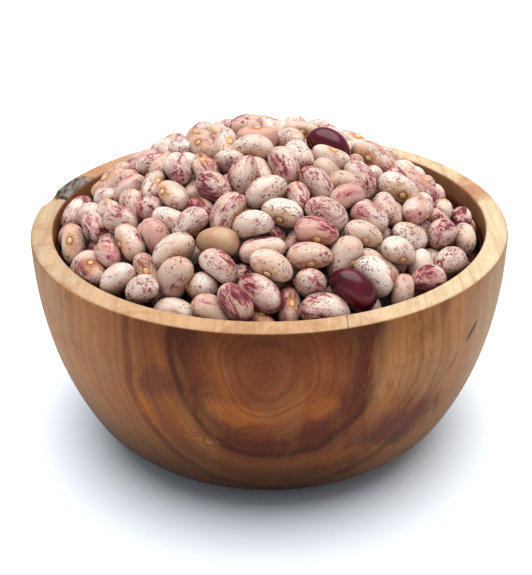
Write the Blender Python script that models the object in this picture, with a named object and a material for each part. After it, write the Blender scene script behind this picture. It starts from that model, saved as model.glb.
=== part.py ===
"""A turned wooden bowl heaped with speckled dried beans.

The origin is the centre of the foot, +Z is up and -Y is the front.
Two closed solids: the bowl, and the heap of beans that fills it.
"""

import math

import bmesh
import bpy
import numpy as np
from mathutils import Vector

MM = 0.001

# Bowl
BOWL_HEIGHT = 90 * MM
WIDEST_RADIUS = 93.2 * MM
WIDEST_HEIGHT = 85 * MM
WALL_DROP = 116.4 * MM
WALL_POWER = 2.105
FOOT_RADIUS = 48 * MM
HEEL_RADIUS = 34 * MM
HEEL_ANGLE = math.radians(62)
MOUTH_RADIUS = 84.6 * MM
FLOOR_THICKNESS = 14 * MM
HOLLOW_POWER = 3.0
RIM_EDGE_OUT = 1.6 * MM
RIM_EDGE_IN = 1.2 * MM
BOWL_SIDES = 68
HEEL_STEPS = 3
WALL_STEPS = 5
HOLLOW_STEPS = 5

# Chipped knot in the rim, at the left
CHIP_AZIMUTH = math.radians(168)
CHIP_HALF_WIDTH = math.radians(5.5)
CHIP_DEPTH = 1.4 * MM
CHIP_REACH = 14 * MM

# Top of the heap: a dome that dips to the back of the mouth
PEAK_HEIGHT = 124.5 * MM
PEAK_RIGHT = -2 * MM
PEAK_BACK = 2 * MM
DOME_POWER = 2.05
EDGE_HEIGHT = 86 * MM
EDGE_DIP = 6 * MM

# Beans: half sizes along, across and through
BEAN_LENGTH = 7.9 * MM
BEAN_WIDTH = 5.2 * MM
BEAN_THICKNESS = 4.6 * MM
BEAN_BEND = 0.7 * MM
BEAN_BLUNTNESS = 2.6
SPINE_RISE = 0.4
SPINE_FALL = 1.6
BEAN_RINGS = 3
BEAN_SIDES = 6
FACET_GROWTH = 1.07
SIZE_SPREAD = 0.07

# Settling of the beans into the top layers of the heap
BEAN_COUNT = 380
LAYERS_DEPTH = 21 * MM
END_SPHERE = 4.2 * MM
MIDDLE_SPHERE = 4.6 * MM
SPHERE_PAIR = 0.6 * MM
FACING_SHARE = 0.6
LIFT_SPREAD = 0.35
ROLL_MIDDLE = 0.1
ROLL_SPREAD = 0.9
PROUD_LEAST = -0.5 * MM
PROUD_MOST = 1 * MM
SINK_STEP = 0.1 * MM
HOME_PULL = 0.25
TURN_PULL = 0.4
PLACED_WEIGHT = 5
PLACED_RISE = 2 * MM
PLACED_PROUD = 4 * MM
SIGHT_SLOPE = math.radians(28)
GRAZING_LEAST = 0.3
BIGGEST = 1.12
LID_PUSH = 0.4
TOUCH_POWER = 0.3
SWEEPS = 320
SINK_SWEEPS = 240
HOME_SWEEPS = 300
LIST_SWEEPS = 8
NEAR_REACH = 2.3 * BEAN_LENGTH
GAP = 0.3 * MM
WALL_GAP = 4 * GAP
SEED = 7

# Core under the beans that show
CORE_DEPTH = 6.5 * MM
CORE_GRIP = 1.5 * MM
CORE_RINGS = 8
CORE_SIDES = 32
LOOK_CELL = 1.5 * MM
COVER_SHARE = 0.8
SHOWN_SHARE = 0.5

# Beans placed by hand, where they stand out: across, back, turn, lift and roll, in mm and degrees
PLACED = (
    (27, -73, -52, -10, -60),
    (23, -6, -29, -8, -60),
    (-18, -59, 1, 0, -30),
    (-5, -57, 9, 0, -40),
    (-53, -61, 10, 12, -40),
    (-43, -69, -9, 5, -40),
    (-25, -71, -90, 68, 0),
    (14, -73, -90, 62, 0),
    (45, -68, 84, 15, -60),
    (16, -57, -9, -6, 14),
    (5, -50, -2, 0, 12),
    (20, -48, -21, -8, -40),
    (35, -43, -8, -8, -30),
    (53, -31, 51, 0, 10),
    (32, -52, 19, -5, 12),
    (26, -62, 55, 22, 30),
    (13, -65, -4, -5, 15),
    (44, -54, 11, -8, 10),
    (64, -34, 41, 0, -50),
    (72, -28, 76, 0, -40),
    (75, -12, 61, 0, -40),
    (65, -46, 34, 0, -40),
    (35, -66, -21, -5, -30),
    (-1, -68, -14, -5, 14),
    (-3, -62, -16, -5, 45),
    (-4, -76, -44, -15, -60),
    (-11, -79, -35, -15, -50),
    (-19, -69, -40, -10, -40),
    (-31, -69, 40, 20, -30),
    (-32, -60, 25, 10, 20),
    (-28, -50, 26, 12, -30),
    (-39, -52, -68, -15, -40),
    (-49, -48, -60, -10, 30),
    (-54, -36, -42, 0, -40),
    (-65, -30, -83, -15, -50),
    (-73, -33, 61, 20, 60),
    (-58, -50, -45, 0, -40),
    (-64, -52, 124, 0, 60),
    (-15, -48, 48, 15, 5),
    (-9, -31, 64, 15, -50),
    (-19, -36, -36, 0, -60),
    (-33, -20, -69, 0, -60),
    (6, -26, -63, -10, -60),
    (17, -34, -29, -12, -50),
    (34, -24, -44, -15, -50),
    (38, -6, -16, -8, 15),
    (47, -23, 5, -8, 15),
    (-1, -40, 30, 0, -60),
    (28, -38, 15, 0, -50),
    (55, -60, 15, 0, -50),
    (-32, -78, -40, -10, -60),
    (-20, -80, -60, 20, 45),
    (20, -80, 5, 0, -50),
)


def clear_scene():
    for obj in list(bpy.data.objects):
        bpy.data.objects.remove(obj, do_unlink=True)


def finish_of(name, colour, roughness):
    material = bpy.data.materials.new(name)
    material.use_nodes = True
    shader = material.node_tree.nodes["Principled BSDF"]
    shader.inputs["Base Color"].default_value = (*colour, 1)
    shader.inputs["Roughness"].default_value = roughness
    shader.inputs["Metallic"].default_value = 0
    material.diffuse_color = (*colour, 1)
    return material


def outer_radius(z):
    drop = (WIDEST_HEIGHT - z) / WALL_DROP
    return WIDEST_RADIUS * (1 - abs(drop) ** WALL_POWER) ** (1 / WALL_POWER)


def hollow_radius(z):
    depth = WIDEST_HEIGHT - FLOOR_THICKNESS
    drop = np.clip((WIDEST_HEIGHT - z) / depth, 0, 1)
    return MOUTH_RADIUS * (1 - drop**HOLLOW_POWER) ** (1 / HOLLOW_POWER)


def arc(centre_r, centre_z, radius, start, end, steps):
    for step in range(steps + 1):
        angle = start + (end - start) * step / steps
        yield centre_r + radius * math.cos(angle), centre_z + radius * math.sin(angle)


def hollow_profile(clearance):
    """Points of the hollow from its middle up to its widest, each moved in by the clearance."""
    for step in range(1, HOLLOW_STEPS + 1):
        turn = math.pi / 2 * step / HOLLOW_STEPS
        z = FLOOR_THICKNESS + (WIDEST_HEIGHT - FLOOR_THICKNESS) * (1 - math.cos(turn))
        yield float(hollow_radius(z)) - clearance, z + clearance


def bowl_profile():
    """The section from the middle of the foot, out and up over the rim, and down the hollow."""
    points = [(0, 0), (FOOT_RADIUS, 0)]
    down = -math.pi / 2
    heel = arc(FOOT_RADIUS, HEEL_RADIUS, HEEL_RADIUS, down, down + HEEL_ANGLE, HEEL_STEPS)
    points += list(heel)[1:]
    heel_top = points[-1][1]
    rim_start = BOWL_HEIGHT - RIM_EDGE_OUT
    for step in range(1, WALL_STEPS + 1):
        z = heel_top + (rim_start - heel_top) * step / WALL_STEPS
        points.append((outer_radius(z), z))
    rim_out = outer_radius(rim_start) - RIM_EDGE_OUT
    points += list(arc(rim_out, rim_start, RIM_EDGE_OUT, 0, math.pi / 2, 2))[1:]
    rim_in = MOUTH_RADIUS + RIM_EDGE_IN
    inner_start = BOWL_HEIGHT - RIM_EDGE_IN
    points += list(arc(rim_in, inner_start, RIM_EDGE_IN, math.pi / 2, math.pi, 2))
    points += reversed(list(hollow_profile(0)))
    points.append((0, FLOOR_THICKNESS))
    return points


def turned(bm, profile, sides, shift=None):
    """Turns a section about +Z. The section starts and ends on the axis."""
    first = bm.verts.new((0, 0, profile[0][1]))
    last = bm.verts.new((0, 0, profile[-1][1]))
    rings = []
    for r, z in profile[1:-1]:
        ring = []
        for side in range(sides):
            azimuth = 2 * math.pi * side / sides
            radius, height = shift(r, z, azimuth) if shift else (r, z)
            place = (radius * math.cos(azimuth), radius * math.sin(azimuth), height)
            ring.append(bm.verts.new(place))
        rings.append(ring)
    for side in range(sides):
        after = (side + 1) % sides
        bm.faces.new((first, rings[0][after], rings[0][side]))
        for low, high in zip(rings, rings[1:]):
            bm.faces.new((low[side], low[after], high[after], high[side]))
        bm.faces.new((rings[-1][side], rings[-1][after], last))
    bmesh.ops.recalc_face_normals(bm, faces=bm.faces)


def chipped(r, z, azimuth):
    """Sinks the outer edge of the rim where the knot has lost a chip."""
    off = abs(math.remainder(azimuth - CHIP_AZIMUTH, 2 * math.pi)) / CHIP_HALF_WIDTH
    below = (BOWL_HEIGHT - z) / CHIP_REACH
    if off >= 1 or below >= 1 or r < (MOUTH_RADIUS + WIDEST_RADIUS) / 2:
        return r, z
    loss = CHIP_DEPTH * math.cos(off * math.pi / 2) * (1 - below)
    return r - loss, z - loss * (1 - below) / 3


def object_of(name, bm, material, sharp_angle):
    mesh = bpy.data.meshes.new(name)
    bm.to_mesh(mesh)
    bm.free()
    obj = bpy.data.objects.new(name, mesh)
    bpy.context.scene.collection.objects.link(obj)
    if material:
        mesh.materials.append(material)
    mesh.shade_smooth()
    mesh.set_sharp_from_angle(angle=sharp_angle)
    return obj


def build_bowl():
    bm = bmesh.new()
    turned(bm, bowl_profile(), BOWL_SIDES, chipped)
    wood = finish_of("turned wood", (0.32, 0.14, 0.06), 0.4)
    return object_of("bowl", bm, wood, math.radians(50))


def heap_top(x, y):
    """Height of the smooth dome through the tops of the beans."""
    reach = np.minimum(np.hypot(x - PEAK_RIGHT, y - PEAK_BACK) / MOUTH_RADIUS, 1)
    edge = EDGE_HEIGHT - EDGE_DIP * y / MOUTH_RADIUS
    return edge + (PEAK_HEIGHT - edge) * (1 - reach**DOME_POWER)


def heap_normal(x, y):
    step = 0.5 * MM
    slope_x = (heap_top(x + step, y) - heap_top(x - step, y)) / (2 * step)
    slope_y = (heap_top(x, y + step) - heap_top(x, y - step)) / (2 * step)
    normal = np.stack([-slope_x, -slope_y, np.ones_like(slope_x)], axis=-1)
    return normal / np.linalg.norm(normal, axis=-1, keepdims=True)


def bean_spheres():
    """Six spheres that stand for one bean while the heap settles, and their radii."""
    centres = []
    radii = []
    for end in (-1, 0, 1):
        x = end * (BEAN_LENGTH - END_SPHERE)
        y = -BEAN_BEND if end else BEAN_BEND / 3
        for side in (-SPHERE_PAIR, SPHERE_PAIR):
            centres.append((x, y + side, 0))
            radii.append(END_SPHERE if end else MIDDLE_SPHERE)
    centres = np.array(centres)
    return centres - centres.mean(axis=0), np.array(radii)


def turned_frames(turn, lift, roll, normal):
    """Axes of beans that lie on the dome: turned in plan, lifted at one end, rolled about their length."""
    along = np.stack([np.cos(turn), np.sin(turn), np.zeros_like(turn)], axis=-1)
    along -= normal * np.sum(along * normal, axis=-1, keepdims=True)
    along /= np.linalg.norm(along, axis=-1, keepdims=True)
    across = np.cross(normal, along)
    lifted = along * np.cos(lift)[:, None] + normal * np.sin(lift)[:, None]
    through = np.cross(lifted, across)
    rolled = across * np.cos(roll)[:, None] - through * np.sin(roll)[:, None]
    return np.stack([lifted, rolled, np.cross(lifted, rolled)], axis=-1)


def first_places(draw):
    """The placed beans behind where they are seen on the dome, the others scattered below it."""
    placed = np.array(PLACED, float)
    x, y = placed[:, 0] * MM, placed[:, 1] * MM
    turn, lift, roll = np.radians(placed[:, 2:]).T
    free = BEAN_COUNT - len(placed)
    azimuth = draw.uniform(0, 2 * math.pi, free)
    reach = (MOUTH_RADIUS - BEAN_WIDTH) * np.sqrt(draw.uniform(0, 1, free))
    x = np.concatenate([x, reach * np.cos(azimuth)])
    y = np.concatenate([y, reach * np.sin(azimuth)])
    facing = draw.uniform(-math.pi / 2, math.pi / 2, free)
    facing += math.pi * (draw.uniform(0, 1, free) > FACING_SHARE)
    turn = np.concatenate([turn, facing])
    lift = np.concatenate([lift, draw.normal(0, LIFT_SPREAD, free)])
    roll = np.concatenate([roll, draw.normal(ROLL_MIDDLE, ROLL_SPREAD, free)])
    size = 1 + SIZE_SPREAD * np.clip(draw.normal(0, 1, BEAN_COUNT), -2, 2)
    size[:2] = BIGGEST
    depth = draw.uniform(BEAN_THICKNESS, LAYERS_DEPTH - BEAN_THICKNESS / 2, BEAN_COUNT)
    placed_ones = np.arange(BEAN_COUNT) < len(placed)
    lying_depth = BEAN_THICKNESS + (BEAN_LENGTH - BEAN_THICKNESS) * np.abs(np.sin(lift))
    depth[placed_ones] = lying_depth[placed_ones] - PLACED_RISE
    normal = heap_normal(x, y)
    on_dome = np.stack([x, y, heap_top(x, y)], axis=-1)
    sight = np.array([0, math.cos(SIGHT_SLOPE), -math.sin(SIGHT_SLOPE)])
    behind = sight * (depth / np.maximum(-normal @ sight, GRAZING_LEAST))[:, None]
    centre = np.where(placed_ones[:, None], on_dome + behind, on_dome - normal * depth[:, None])
    return centre, turned_frames(turn, lift, roll, normal), size


def push_apart(place, radius, first, second):
    """Moves that part the spheres of neighbouring beans. A placed bean gives way less."""
    push = np.zeros_like(place)
    touches = np.zeros(place.shape[:2])
    between = place[first][:, :, None] - place[second][:, None]
    distance = np.linalg.norm(between, axis=-1)
    deep = radius[first][:, :, None] + radius[second][:, None] - distance
    pair, one, other = np.nonzero(deep > 0)
    weight = np.where(np.arange(len(place)) < len(PLACED), PLACED_WEIGHT, 1)
    gives = weight[second[pair]] / (weight[first[pair]] + weight[second[pair]])
    share = deep[pair, one, other] / np.maximum(distance[pair, one, other], 0.01 * MM)
    move = between[pair, one, other] * share[:, None]
    np.add.at(push, (first[pair], one), move * gives[:, None])
    np.add.at(push, (second[pair], other), move * (gives - 1)[:, None])
    np.add.at(touches, (first[pair], one), 1)
    np.add.at(touches, (second[pair], other), 1)
    return push / np.maximum(touches, 1)[..., None] ** TOUCH_POWER


def nearest_turn(matrices):
    """The pure rotation closest to each matrix."""
    left, _, right = np.linalg.svd(matrices)
    left[:, :, 2] *= np.sign(np.linalg.det(left @ right))[:, None]
    return left @ right


def keep_roll(frame, start):
    """Turns each bean about its length until its hilum faces as it first did."""
    along = frame[:, :, 0]
    across = start[:, :, 1]
    across = across - along * np.sum(across * along, axis=-1, keepdims=True)
    across /= np.linalg.norm(across, axis=-1, keepdims=True)
    return np.stack([along, across, np.cross(along, across)], axis=-1)


def settle(draw):
    """Beans sink together: they push apart, keep to the hollow and stay between core and dome."""
    centre, frame, size = first_places(draw)
    start = frame
    home = centre[: len(PLACED)].copy()
    spheres, radii = bean_spheres()
    radius = size[:, None] * radii[None, :]
    shape = size[:, None, None] * spheres[None]
    proud = draw.uniform(PROUD_LEAST, PROUD_MOST, len(centre))[:, None]
    proud[: len(home)] = PLACED_PROUD
    for sweep in range(SWEEPS):
        if sweep % LIST_SWEEPS == 0:
            away = np.linalg.norm(centre[:, None] - centre[None], axis=-1)
            first, second = np.nonzero(np.triu(away < NEAR_REACH, 1))
        calm = max(0, 1 - sweep / SINK_SWEEPS)
        centre = centre - SINK_STEP * calm * heap_normal(centre[:, 0], centre[:, 1])
        if sweep < HOME_SWEEPS:
            centre[: len(home)] += HOME_PULL * (home - centre[: len(home)])
        place = centre[:, None] + np.einsum("nij,nsj->nsi", frame, shape)
        push = push_apart(place, radius, first, second)

        reach = np.hypot(place[..., 0], place[..., 1])
        room = hollow_radius(np.minimum(place[..., 2], WIDEST_HEIGHT)) - radius - WALL_GAP
        out = np.maximum(reach - room, 0) / np.maximum(reach, MM)
        push[..., :2] -= out[..., None] * place[..., :2]

        up = heap_normal(place[..., 0], place[..., 1])
        above = (place[..., 2] - heap_top(place[..., 0], place[..., 1])) * up[..., 2]
        push -= LID_PUSH * up * np.maximum(above + radius - proud, 0)[..., None]
        push += up * np.maximum(radius - LAYERS_DEPTH - above, 0)[..., None]

        goal = place + push
        centre = goal.mean(axis=1)
        spread = np.einsum("nsi,sj->nij", goal - centre[:, None], spheres)
        frame = keep_roll(nearest_turn(spread), start)
        if sweep < HOME_SWEEPS:
            frame[: len(home)] = nearest_turn(frame[: len(home)] + TURN_PULL * start[: len(home)])
    return centre, frame, size


def shown(centre, size):
    """Beans that are the highest over a fair share of their own footprint, seen along the dome."""
    normal = heap_normal(centre[:, 0], centre[:, 1])
    height = (centre[:, 2] - heap_top(centre[:, 0], centre[:, 1])) * normal[:, 2]
    cells = int(2 * MOUTH_RADIUS / LOOK_CELL)
    best = np.full((cells, cells), -1.0)
    owner = np.full((cells, cells), -1)
    axis = -MOUTH_RADIUS + LOOK_CELL * (np.arange(cells) + 0.5)
    grid_x, grid_y = np.meshgrid(axis, axis, indexing="ij")
    reach = COVER_SHARE * BEAN_LENGTH
    for bean, (x, y, _) in enumerate(centre):
        away = np.hypot(grid_x - x, grid_y - y) / (reach * size[bean])
        cap = height[bean] + BEAN_THICKNESS * np.sqrt(np.clip(1 - away**2, 0, 1))
        over = (away < 1) & (cap > best)
        best[over] = cap[over]
        owner[over] = bean
    counts = np.bincount(owner[owner >= 0], minlength=len(centre))
    return counts > SHOWN_SHARE * math.pi * (reach / LOOK_CELL) ** 2


def add_bean(bm, centre, frame, size):
    """One bean with few sides: blunt ends, one edge bent in."""
    along, across, through = (Vector(frame[:, axis]) for axis in range(3))
    middle = Vector(centre)
    width, thickness = BEAN_WIDTH * FACET_GROWTH, BEAN_THICKNESS * FACET_GROWTH
    loops = []
    for ring in range(1, BEAN_RINGS + 1):
        u = -math.cos(math.pi * ring / (BEAN_RINGS + 1))
        girth = (1 - abs(u) ** BEAN_BLUNTNESS) ** (1 / BEAN_BLUNTNESS)
        bow = BEAN_BEND * (SPINE_RISE - SPINE_FALL * u * u)
        spine = middle + size * (along * BEAN_LENGTH * u + across * bow)
        loop = []
        for side in range(BEAN_SIDES):
            angle = 2 * math.pi * (side + 0.5) / BEAN_SIDES
            out = across * width * math.cos(angle) + through * thickness * math.sin(angle)
            loop.append(bm.verts.new(spine + size * girth * out))
        loops.append(loop)
    first, last = (
        bm.verts.new(middle + size * (along * BEAN_LENGTH * end - across * BEAN_BEND)) for end in (-1, 1)
    )
    for side in range(BEAN_SIDES):
        after = (side + 1) % BEAN_SIDES
        bm.faces.new((first, loops[0][after], loops[0][side]))
        for low, high in zip(loops, loops[1:]):
            bm.faces.new((low[side], low[after], high[after], high[side]))
        bm.faces.new((loops[-1][side], loops[-1][after], last))
    bmesh.ops.recalc_face_normals(bm, faces=bm.faces)


def core_top(x, y):
    return float(heap_top(np.array(x), np.array(y))) - CORE_DEPTH


def build_core(material):
    """The packed beans below the ones that show, from the hollow up to just under the dome."""
    wall = list(hollow_profile(GAP))
    level = wall[-1][1]
    edge = MOUTH_RADIUS - 2 * GAP
    wall[-1] = (edge, level)
    cover = [(edge * ring / CORE_RINGS, level) for ring in range(CORE_RINGS - 1, -1, -1)]
    bm = bmesh.new()
    turned(bm, [(0, FLOOR_THICKNESS + GAP)] + wall + cover, CORE_SIDES)
    for vert in bm.verts:
        if vert.co.z > level - GAP:
            vert.co.z = core_top(vert.co.x, vert.co.y)
    return object_of("beans", bm, material, math.radians(40))


def fuse(core, pieces):
    """Joins the core and the beans that show into one closed body."""
    group = bpy.data.collections.new("beans that show")
    bpy.context.scene.collection.children.link(group)
    for piece in pieces:
        bpy.context.scene.collection.objects.unlink(piece)
        group.objects.link(piece)
    union = core.modifiers.new("union", "BOOLEAN")
    union.operation = "UNION"
    union.operand_type = "COLLECTION"
    union.collection = group
    union.solver = "EXACT"
    graph = bpy.context.evaluated_depsgraph_get()
    joined = bpy.data.meshes.new_from_object(core.evaluated_get(graph))
    core.modifiers.clear()
    core.data = joined
    for piece in pieces:
        bpy.data.objects.remove(piece, do_unlink=True)
    bpy.data.collections.remove(group)


def loose_shells(bm):
    """Groups of faces that hang together."""
    left = set(bm.faces)
    shells = []
    while left:
        front = [left.pop()]
        shell = list(front)
        while front:
            face = front.pop()
            for edge in face.edges:
                for near in edge.link_faces:
                    if near in left:
                        left.remove(near)
                        front.append(near)
                        shell.append(near)
        shells.append(shell)
    return shells


def keep_one_body(mesh):
    """Drops loose scraps and the walls of sealed hollows, so that the heap is one solid."""
    bm = bmesh.new()
    bm.from_mesh(mesh)
    shells = sorted(loose_shells(bm), key=len)
    for shell in shells[:-1]:
        bmesh.ops.delete(bm, geom=shell, context="FACES")
    bm.to_mesh(mesh)
    bm.free()


def rest_on_core(centre, frame, size):
    """Lowers each bean that would hover over the core until it dips into it."""
    normal = heap_normal(centre[:, 0], centre[:, 1])
    half = np.array([BEAN_LENGTH, BEAN_WIDTH, BEAN_THICKNESS])
    reach = size * np.linalg.norm(np.einsum("ni,nij->nj", normal, frame) * half, axis=1)
    above = (centre[:, 2] - heap_top(centre[:, 0], centre[:, 1])) * normal[:, 2]
    hover = np.maximum(above - reach + CORE_DEPTH + CORE_GRIP, 0)
    return centre - hover[:, None] * normal


def build_beans():
    draw = np.random.default_rng(SEED)
    centre, frame, size = settle(draw)
    centre = rest_on_core(centre, frame, size)
    material = finish_of("dried beans", (0.72, 0.58, 0.5), 0.45)
    pieces = []
    for bean in np.nonzero(shown(centre, size))[0]:
        bm = bmesh.new()
        add_bean(bm, centre[bean], frame[bean], float(size[bean]))
        pieces.append(object_of("bean", bm, material, math.radians(40)))
    core = build_core(material)
    fuse(core, pieces)
    keep_one_body(core.data)
    return core


clear_scene()
build_bowl()
build_beans()
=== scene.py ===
"""Looks of the bowl of dried beans: a turned wooden bowl and the real beans over their core.

The frame's origin is the centre of the bowl's foot, +Z is up and the photographed side faces -Y.
"""

import math

import bmesh
import bpy
import numpy as np
from mathutils import Matrix, Vector


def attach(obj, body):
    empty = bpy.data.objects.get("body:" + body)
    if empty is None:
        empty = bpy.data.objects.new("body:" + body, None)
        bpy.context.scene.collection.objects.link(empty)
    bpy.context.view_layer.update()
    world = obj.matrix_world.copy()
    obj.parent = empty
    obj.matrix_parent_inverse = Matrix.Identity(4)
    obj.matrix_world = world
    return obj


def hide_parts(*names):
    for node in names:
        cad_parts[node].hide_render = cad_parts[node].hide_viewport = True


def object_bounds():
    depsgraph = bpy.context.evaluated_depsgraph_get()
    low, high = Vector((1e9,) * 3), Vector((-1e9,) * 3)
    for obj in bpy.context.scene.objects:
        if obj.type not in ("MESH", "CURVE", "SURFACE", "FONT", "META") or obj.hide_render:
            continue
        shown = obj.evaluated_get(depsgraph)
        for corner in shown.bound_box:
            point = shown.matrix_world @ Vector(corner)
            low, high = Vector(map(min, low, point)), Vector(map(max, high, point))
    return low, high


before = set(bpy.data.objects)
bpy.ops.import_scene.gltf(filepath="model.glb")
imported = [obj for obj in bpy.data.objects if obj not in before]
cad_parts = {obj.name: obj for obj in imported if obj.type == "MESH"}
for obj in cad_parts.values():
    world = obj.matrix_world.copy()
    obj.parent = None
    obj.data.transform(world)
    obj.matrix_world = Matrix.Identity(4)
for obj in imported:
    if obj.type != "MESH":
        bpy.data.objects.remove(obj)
cad_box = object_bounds()

MM = 0.001

# Bowl
BOWL_HEIGHT = 90 * MM
WIDEST_RADIUS = 93.17 * MM
WIDEST_HEIGHT = 85 * MM
WALL_DROP = 116.4 * MM
WALL_POWER = 2.105
FOOT_RADIUS = 48 * MM
HEEL_RADIUS = 34 * MM
HEEL_ANGLE = math.radians(62)
MOUTH_RADIUS = 84.6 * MM
FLOOR_THICKNESS = 14 * MM
HOLLOW_POWER = 3.0
RIM_EDGE_OUT = 1.6 * MM
RIM_EDGE_IN = 1.2 * MM
BOWL_SIDES = 288
HEEL_STEPS = 12
WALL_STEPS = 34
RIM_STEPS = 5
OUTER_EDGE_STEPS = 5
INNER_EDGE_STEPS = 4
HOLLOW_STEPS = 24

# Chipped knot in the rim, at the left
CHIP_AZIMUTH = math.radians(168)
CHIP_HALF_WIDTH = math.radians(5.5)
CHIP_DEPTH = 1.4 * MM
CHIP_REACH = 14 * MM

# Top of the heap: a dome that dips to the back of the mouth
PEAK_HEIGHT = 124.5 * MM
PEAK_RIGHT = -2 * MM
PEAK_BACK = 2 * MM
DOME_POWER = 2.05
EDGE_HEIGHT = 86 * MM
EDGE_DIP = 6 * MM

# Beans: half sizes along, across and through
BEAN_LENGTH = 7.9 * MM
BEAN_WIDTH = 5.2 * MM
BEAN_THICKNESS = 4.6 * MM
BEAN_BEND = 0.7 * MM
SIZE_SPREAD = 0.07

# Settling of the beans into the top layers of the heap, as in the solids
BEAN_COUNT = 380
LAYERS_DEPTH = 21 * MM
END_SPHERE = 4.2 * MM
MIDDLE_SPHERE = 4.6 * MM
SPHERE_PAIR = 0.6 * MM
FACING_SHARE = 0.6
LIFT_SPREAD = 0.35
ROLL_MIDDLE = 0.1
ROLL_SPREAD = 0.9
PROUD_LEAST = -0.5 * MM
PROUD_MOST = 1 * MM
SINK_STEP = 0.1 * MM
HOME_PULL = 0.25
TURN_PULL = 0.4
PLACED_WEIGHT = 5
PLACED_RISE = 2 * MM
PLACED_PROUD = 4 * MM
SIGHT_SLOPE = math.radians(28)
GRAZING_LEAST = 0.3
BIGGEST = 1.12
LID_PUSH = 0.4
TOUCH_POWER = 0.3
SWEEPS = 320
SINK_SWEEPS = 240
HOME_SWEEPS = 300
LIST_SWEEPS = 8
NEAR_REACH = 2.3 * BEAN_LENGTH
GAP = 0.3 * MM
WALL_GAP = 4 * GAP
SEED = 7

# Finish of one bean's mesh
BEAN_RINGS = 26
BEAN_SIDES = 20
LOOK_SEED = 21

# Camera, fitted to both edges of the rim and the sides of the bowl
PHOTO_HEIGHT = 575
CAMERA_PITCH = math.radians(28.17)
CAMERA_ROLL = math.radians(-0.64)
CAMERA_DISTANCE = 438 * MM
CAMERA_TARGET = Vector((-1.47 * MM, 0, 56.84 * MM))
FOCAL_PIXELS = 1064.3
SENSOR = 36

# Studio: one broad light overhead, an even sky and a pale floor just under the foot
LIGHT_STRENGTH = 3.92
LIGHT_BREADTH = math.radians(72)
LIGHT_FROM = Vector((0.035, 0.08, 1))
LIGHT_COLOUR = (1, 0.975, 0.93)
SKY_COLOUR = (0.97, 0.98, 1, 1)
SKY_STRENGTH = 0.6
FLOOR_REACH = 40.0
FLOOR_DROP = 0.2 * MM
PICTURE_GAMMA = 0.82

# Beans listed one by one, where they stand out in the photo:
# across, back, turn, lift and roll, in mm and degrees, and the kind of skin
PLACED = (
    (27, -73, -52, -10, -60, "maroon"),
    (23, -6, -29, -8, -60, "maroon"),
    (-18, -59, 1, 0, -30, "tan"),
    (-5, -57, 9, 0, -40, "pale"),
    (-53, -61, 10, 12, -40, "pale"),
    (-43, -69, -9, 5, -40, "speckled"),
    (-25, -71, -90, 68, 0, "pale"),
    (14, -73, -90, 62, 0, "speckled"),
    (45, -68, 84, 15, -60, "pale"),
    (16, -57, -9, -6, 14, "blushed"),
    (5, -50, -2, 0, 12, "speckled"),
    (20, -48, -21, -8, -40, "speckled"),
    (35, -43, -8, -8, -30, "blushed"),
    (53, -31, 51, 0, 10, "blushed"),
    (32, -52, 19, -5, 12, "pale"),
    (26, -62, 55, 22, 30, "pale"),
    (13, -65, -4, -5, 15, "speckled"),
    (44, -54, 11, -8, 10, "pale"),
    (64, -34, 41, 0, -50, "speckled"),
    (72, -28, 76, 0, -40, "pale"),
    (75, -12, 61, 0, -40, "streaked"),
    (65, -46, 34, 0, -40, "speckled"),
    (35, -66, -21, -5, -30, "speckled"),
    (-1, -68, -14, -5, 14, "pale"),
    (-3, -62, -16, -5, 45, "streaked"),
    (-4, -76, -44, -15, -60, "blushed"),
    (-11, -79, -35, -15, -50, "streaked"),
    (-19, -69, -40, -10, -40, "speckled"),
    (-31, -69, 40, 20, -30, "pale"),
    (-32, -60, 25, 10, 20, "streaked"),
    (-28, -50, 26, 12, -30, "speckled"),
    (-39, -52, -68, -15, -40, "blushed"),
    (-49, -48, -60, -10, 30, "speckled"),
    (-54, -36, -42, 0, -40, "speckled"),
    (-65, -30, -83, -15, -50, "streaked"),
    (-73, -33, 61, 20, 60, "pale"),
    (-58, -50, -45, 0, -40, "blushed"),
    (-64, -52, 124, 0, 60, "streaked"),
    (-15, -48, 48, 15, 5, "speckled"),
    (-9, -31, 64, 15, -50, "streaked"),
    (-19, -36, -36, 0, -60, "streaked"),
    (-33, -20, -69, 0, -60, "speckled"),
    (6, -26, -63, -10, -60, "speckled"),
    (17, -34, -29, -12, -50, "streaked"),
    (34, -24, -44, -15, -50, "speckled"),
    (38, -6, -16, -8, 15, "speckled"),
    (47, -23, 5, -8, 15, "speckled"),
    (-1, -40, 30, 0, -60, "pale"),
    (28, -38, 15, 0, -50, "blushed"),
    (55, -60, 15, 0, -50, "blushed"),
    (-32, -78, -40, -10, -60, "streaked"),
    (-20, -80, -60, 20, 45, "pale"),
    (20, -80, 5, 0, -50, "speckled"),
)
KINDS = ("speckled", "streaked", "pale", "blushed", "tan", "maroon")
KIND_SHARES = (0.44, 0.23, 0.23, 0.1, 0.0, 0.0)


def linear(red, green, blue):
    """A colour as seen on a screen, 0 to 255, in the renderer's linear values."""
    values = []
    for value in (red, green, blue):
        value = value / 255
        values.append(value / 12.92 if value <= 0.04045 else ((value + 0.055) / 1.055) ** 2.4)
    return (*values, 1)


# Solid shapes, as in the CAD


def outer_radius(z):
    drop = (WIDEST_HEIGHT - z) / WALL_DROP
    return WIDEST_RADIUS * (1 - abs(drop) ** WALL_POWER) ** (1 / WALL_POWER)


def hollow_radius(z):
    depth = WIDEST_HEIGHT - FLOOR_THICKNESS
    drop = np.clip((WIDEST_HEIGHT - z) / depth, 0, 1)
    return MOUTH_RADIUS * (1 - drop**HOLLOW_POWER) ** (1 / HOLLOW_POWER)


def arc(centre_r, centre_z, radius, start, end, steps):
    for step in range(steps + 1):
        angle = start + (end - start) * step / steps
        yield centre_r + radius * math.cos(angle), centre_z + radius * math.sin(angle)


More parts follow.
